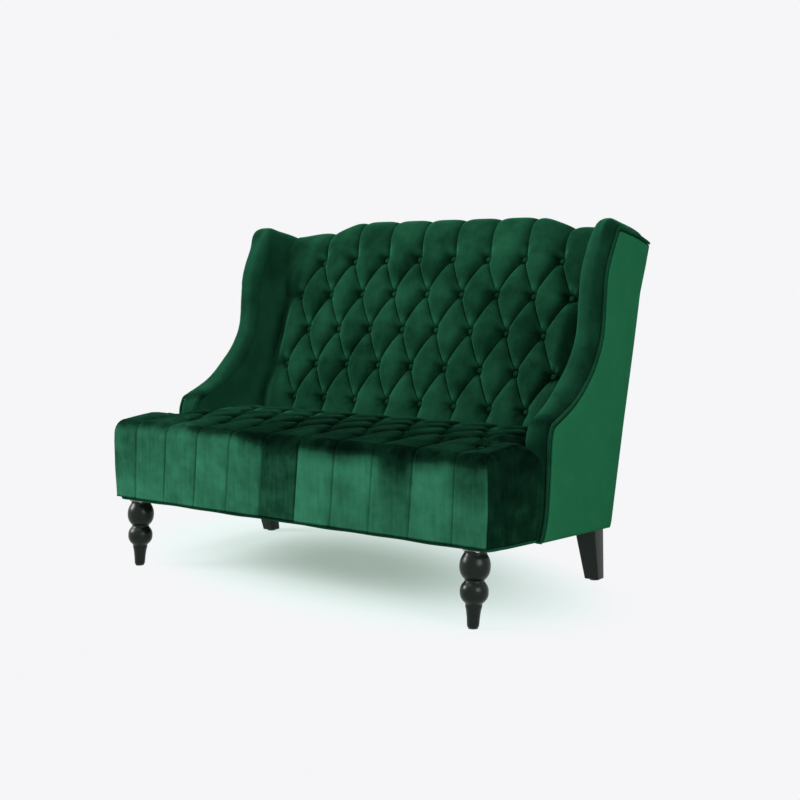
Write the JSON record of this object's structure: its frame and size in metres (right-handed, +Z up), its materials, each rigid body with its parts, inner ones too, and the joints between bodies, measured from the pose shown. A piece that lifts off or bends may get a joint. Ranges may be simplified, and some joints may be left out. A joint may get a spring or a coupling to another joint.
{
  "type": "loveseat",
  "caption": "Wing-back loveseat in deep-buttoned velvet with a diamond-tufted arched back, pleated tufted seat, welted side panels and short black turned legs.",
  "frame": {"origin": "on the floor under the middle of the bounding box", "axes": "+X to the right along the width, +Y to the back (the seat faces -Y), +Z up"},
  "size_m": [1.2764, 0.8636, 0.9779],
  "materials": {
    "velvet": "soft cut-pile velvet",
    "velvet_panel": "flat stretched velvet",
    "velvet_trim": "velvet-covered cord",
    "hardwood": "sawn, unfinished",
    "plywood": "raw plywood",
    "black_lacquer": "satin black lacquer",
    "steel": "plain zinc-plated",
    "dust_cloth": "non-woven cloth",
    "deck_cloth": "plain woven cloth",
    "webbing": "woven jute strap",
    "nylon": "moulded"
  },
  "bodies": {
    "root": {"tufted_back": "velvet", "tufted_seat": "velvet", "side_boxing_band_right": "velvet", "side_boxing_band_left": "velvet", "side_inner_pad_right": "velvet", "side_inner_pad_left": "velvet", "side_outer_panel_right": "velvet_panel", "side_outer_panel_left": "velvet_panel", "back_outer_panel": "velvet_panel", "side_panel_welt_right": "velvet_trim", "side_panel_welt_left": "velvet_trim", "seat_base_welt": "velvet_trim", "side_frame_board_right": "plywood", "side_frame_board_left": "plywood", "front_seat_rail": "hardwood", "rear_seat_rail": "hardwood", "centre_seat_brace": "hardwood", "back_top_rail": "hardwood", "back_bottom_rail": "hardwood", "back_upright": "hardwood", "side_seat_rail_right": "hardwood", "side_seat_rail_left": "hardwood", "back_post_right": "hardwood", "back_post_left": "hardwood", "front_corner_block_right": "hardwood", "front_corner_block_left": "hardwood", "rear_corner_block_right": "hardwood", "rear_corner_block_left": "hardwood", "front_leg_right": "black_lacquer", "front_leg_left": "black_lacquer", "rear_leg_right": "black_lacquer", "rear_leg_left": "black_lacquer", "front_leg_plate_right": "steel", "front_leg_plate_left": "steel", "rear_leg_plate_right": "steel", "rear_leg_plate_left": "steel", "front_leg_bolt_right": "steel", "front_leg_bolt_left": "steel", "rear_leg_bolt_right": "steel", "rear_leg_bolt_left": "steel", "seat_spring_1": "steel", "seat_spring_2": "steel", "seat_spring_3": "steel", "seat_spring_4": "steel", "seat_spring_cover": "deck_cloth", "back_web_1": "webbing", "back_web_2": "webbing", "back_web_3": "webbing", "dust_cover": "dust_cloth", "front_leg_glide_right": "nylon", "front_leg_glide_left": "nylon", "rear_leg_glide_right": "nylon", "rear_leg_glide_left": "nylon"}
  },
  "joints": []
}
